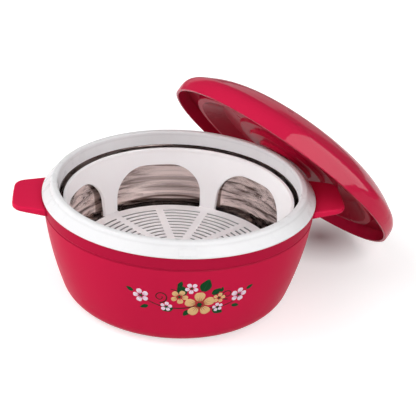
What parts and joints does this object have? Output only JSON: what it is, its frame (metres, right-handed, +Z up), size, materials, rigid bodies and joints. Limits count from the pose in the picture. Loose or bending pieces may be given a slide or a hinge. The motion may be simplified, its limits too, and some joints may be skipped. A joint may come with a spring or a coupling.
{
  "type": "insulated casserole",
  "caption": "Round insulated serving casserole with a steel liner, white collar, slotted lift-out basket, two side handles and a loose domed lid leaning against it.",
  "frame": {"origin": "centre of the base, on the table", "axes": "+Z up, the handles point along -X and +X, the small plate on the collar faces -Y"},
  "size_m": [0.3486, 0.3052, 0.1818],
  "materials": {
    "crimson_body": "gloss",
    "crimson_lid": "gloss",
    "crimson_liner": "satin",
    "white_collar": "gloss",
    "white_basket": "gloss",
    "bowl_steel": "polished",
    "foam": "matte",
    "seal": "matte",
    "plug": "satin"
  },
  "bodies": {
    "casserole": {"outer_body": "crimson_body", "foam_fill_plug": "plug", "inner_bowl": "bowl_steel", "body_foam": "foam", "bowl_gasket": "seal", "rim_ring": "white_collar"},
    "basket": {"basket_band": "white_basket", "basket_posts": "white_basket", "basket_grid": "white_basket", "basket_feet": "white_basket"},
    "lid": {"lid_shell": "crimson_lid", "lid_liner": "crimson_liner", "lid_fill_plug": "plug", "lid_foam": "foam"}
  },
  "joints": [
    {"name": "basket_lift", "type": "slide", "parent": "casserole", "child": "basket", "axis": [0, 0, 1], "range_m": [0, 0.025]},
    {"name": "lid_lift", "type": "slide", "parent": "casserole", "child": "lid", "axis": [0, 0, 1], "range_m": [0, 0.25]}
  ]
}
